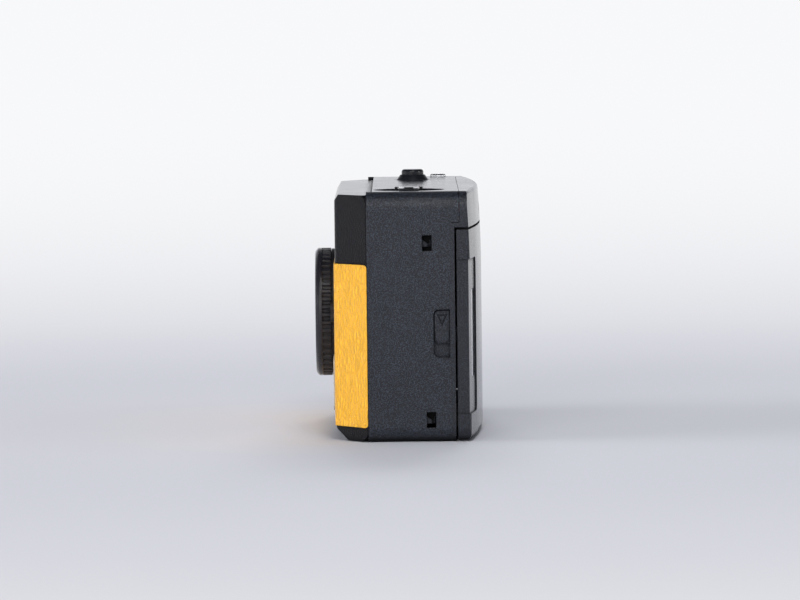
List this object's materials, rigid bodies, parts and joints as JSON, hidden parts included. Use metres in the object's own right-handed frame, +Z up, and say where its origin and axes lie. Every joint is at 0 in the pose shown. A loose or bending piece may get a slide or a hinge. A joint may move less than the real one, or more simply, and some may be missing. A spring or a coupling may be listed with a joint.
{
  "type": "reusable film camera",
  "caption": "Compact fixed-focus 35 mm film camera with built-in flash, leather-grain front cover, thumb-wheel advance, folding rewind crank and a hinged, latched back",
  "frame": {"origin": "centre of the bounding box's foot, on the surface that the camera stands on", "axes": "+Z up, -Y out of the lens, +X towards the rewind crank, on the user's left"},
  "size_m": [0.119, 0.043, 0.0658],
  "materials": {
    "shell_black": "fine textured blue-black moulding",
    "plate_black": "smooth satin black moulding",
    "panel_yellow": "fine leather-grain embossed sheet",
    "badge_cream": "smooth cream, bare",
    "chassis_black": "textured outside, flat black inside",
    "door_black": "fine textured black",
    "latch_black": "satin black with an engraved triangle",
    "ring_black": "satin black, knurled",
    "switch_black": "satin black",
    "inner_black": "flat black",
    "trim_black": "satin black",
    "steel": "drawn and polished",
    "spring_steel": "spring wire and strip",
    "blackened_steel": "chemically blackened",
    "lens_clear": "clear moulded lens, coated",
    "window_clear": "clear moulded window",
    "film_window_smoke": "smoked clear window",
    "tube_glass": "clear tube",
    "reflector_bright": "bright formed sheet",
    "board_green": "solder mask over laminate",
    "sleeve_black": "shrink sleeve, plain",
    "ferrite_brown": "wound core",
    "lamp_red": "clear red moulding",
    "contact_brass": "plated strip",
    "cell_jacket": "plain metal jacket",
    "dial_white": "white with plain graduations",
    "seal_foam": "open foam strip",
    "acetal_black": "black acetal"
  },
  "bodies": {
    "camera_body": {"front_shell": "shell_black", "face_plate": "plate_black", "cover_panel": "panel_yellow", "badge_plate": "badge_cream", "chassis": "chassis_black", "cassette_well": "inner_black", "strap_bar": "steel", "door_hinge_pin": "steel", "latch_spring": "spring_steel", "lens_ring": "ring_black", "lens_bezel": "trim_black", "lens_holder": "inner_black", "front_lens": "lens_clear", "aperture_stop": "blackened_steel", "shutter_base": "inner_black", "lever_spring": "spring_steel", "button_collar": "trim_black", "button_spring": "spring_steel", "flash_window": "window_clear", "flash_reflector": "reflector_bright", "flash_tube": "tube_glass", "flash_board": "board_green", "flash_capacitor": "sleeve_black", "flash_transformer": "ferrite_brown", "ready_lamp": "lamp_red", "finder_tunnel": "inner_black", "finder_lens": "window_clear", "eyepiece_lens": "window_clear", "counter_window": "window_clear", "battery_box": "inner_black", "battery_cell": "cell_jacket", "battery_spring": "spring_steel", "battery_contact": "contact_brass", "door_seal": "seal_foam", "case_screws": "blackened_steel"},
    "door": {"back_door": "door_black", "film_window": "film_window_smoke", "pressure_spring": "spring_steel"},
    "pressure_plate": {"pressure_plate": "blackened_steel"},
    "door_latch": {"door_latch": "latch_black"},
    "flash_switch": {"flash_switch": "switch_black"},
    "shutter_button": {"shutter_button": "trim_black"},
    "release_lever": {"release_lever": "steel"},
    "shutter_blade": {"shutter_blade": "blackened_steel"},
    "advance_wheel": {"advance_wheel": "acetal_black"},
    "takeup_spool": {"takeup_spool": "acetal_black"},
    "sprocket_shaft": {"sprocket_shaft": "acetal_black"},
    "counter_dial": {"counter_dial": "dial_white"},
    "wheel_pawl": {"wheel_pawl": "steel"},
    "battery_door": {"battery_door": "shell_black"},
    "release_button": {"release_button": "trim_black"},
    "rewind_slide": {"rewind_clip": "inner_black"},
    "rewind_knob": {"rewind_knob": "trim_black", "rewind_fork": "inner_black", "crank_pin": "steel"},
    "rewind_crank": {"rewind_crank": "trim_black"},
    "crank_grip": {"crank_grip": "trim_black"}
  },
  "joints": [
    {"name": "door_swing", "type": "hinge", "parent": "camera_body", "child": "door", "pos_m": [-0.0577, 0.0163, 0.027], "axis": [0, 0, 1], "range_deg": [0, 110]},
    {"name": "plate_press", "type": "slide", "parent": "door", "child": "pressure_plate", "axis": [0, 1, 0], "range_m": [0, 0.0006], "stiffness_N_per_m": 150, "springref_m": -0.002, "deforming": ["pressure_spring"]},
    {"name": "latch_slide", "type": "slide", "parent": "camera_body", "child": "door_latch", "axis": [0, 0, -1], "range_m": [0, 0.0036], "stiffness_N_per_m": 120, "springref_m": -0.004, "deforming": ["latch_spring"]},
    {"name": "switch_turn", "type": "hinge", "parent": "camera_body", "child": "flash_switch", "pos_m": [0, -0.0165, 0.03], "axis": [0, 1, 0], "range_deg": [0, 25]},
    {"name": "button_press", "type": "slide", "parent": "camera_body", "child": "shutter_button", "axis": [0, 0, -1], "range_m": [0, 0.0012], "stiffness_N_per_m": 300, "springref_m": -0.003, "deforming": ["button_spring"]},
    {"name": "lever_rock", "type": "hinge", "parent": "camera_body", "child": "release_lever", "pos_m": [-0.02, -0.0115, 0.045], "axis": [0, -1, 0], "range_deg": [0, 6.55]},
    {"name": "blade_turn", "type": "hinge", "parent": "camera_body", "child": "shutter_blade", "pos_m": [-0.0085, -0.0113, 0.038], "axis": [0, 1, 0], "range_deg": [0, 24]},
    {"name": "wheel_spin", "type": "hinge", "parent": "camera_body", "child": "advance_wheel", "pos_m": [-0.04595, 0.00945, 0.057], "axis": [0, 0, 1], "continuous": true},
    {"name": "spool_spin", "type": "hinge", "parent": "camera_body", "child": "takeup_spool", "pos_m": [-0.041, 0.0045, 0.03], "axis": [0, 0, 1], "continuous": true},
    {"name": "sprocket_spin", "type": "hinge", "parent": "camera_body", "child": "sprocket_shaft", "pos_m": [-0.024, 0.00685, 0.03], "axis": [0, 0, 1], "continuous": true},
    {"name": "dial_turn", "type": "hinge", "parent": "camera_body", "child": "counter_dial", "pos_m": [-0.04595, 0.00945, 0.0607], "axis": [0, 0, 1], "continuous": true},
    {"name": "pawl_lift", "type": "hinge", "parent": "camera_body", "child": "wheel_pawl", "pos_m": [-0.0333, 0.0066, 0.0573], "axis": [0, 0, -1], "range_deg": [0, 12], "stiffness_Nm_per_rad": 0.0005, "springref_deg": -17.19},
    {"name": "battery_door_swing", "type": "hinge", "parent": "camera_body", "child": "battery_door", "pos_m": [0.0033, 0.0072, 0.0012], "axis": [1, 0, 0], "range_deg": [0, 95]},
    {"name": "release_press", "type": "slide", "parent": "camera_body", "child": "release_button", "axis": [0, 0, 1], "range_m": [0, 0.001], "stiffness_N_per_m": 120, "springref_m": -0.002},
    {"name": "rewind_lift", "type": "slide", "parent": "camera_body", "child": "rewind_slide", "axis": [0, 0, 1], "range_m": [0, 0.004]},
    {"name": "rewind_spin", "type": "hinge", "parent": "rewind_slide", "child": "rewind_knob", "pos_m": [0.0429, 0.0029, 0.061], "axis": [0, 0, 1], "continuous": true},
    {"name": "crank_fold", "type": "hinge", "parent": "rewind_knob", "child": "rewind_crank", "pos_m": [0.0367, 0.0029, 0.06295], "axis": [0, -1, 0], "range_deg": [0, 120]},
    {"name": "grip_spin", "type": "hinge", "parent": "rewind_crank", "child": "crank_grip", "pos_m": [0.048, 0.0029, 0.062], "axis": [0, 0, 1], "continuous": true}
  ],
  "couplings": [
    {"joint": "lever_rock", "follows": "button_press", "rad_per_m": 95.2},
    {"joint": "blade_turn", "follows": "button_press", "rad_per_m": 349},
    {"joint": "spool_spin", "follows": "wheel_spin", "ratio": -0.75},
    {"joint": "sprocket_spin", "follows": "wheel_spin", "ratio": -0.905},
    {"joint": "dial_turn", "follows": "wheel_spin", "ratio": 0.0226}
  ]
}
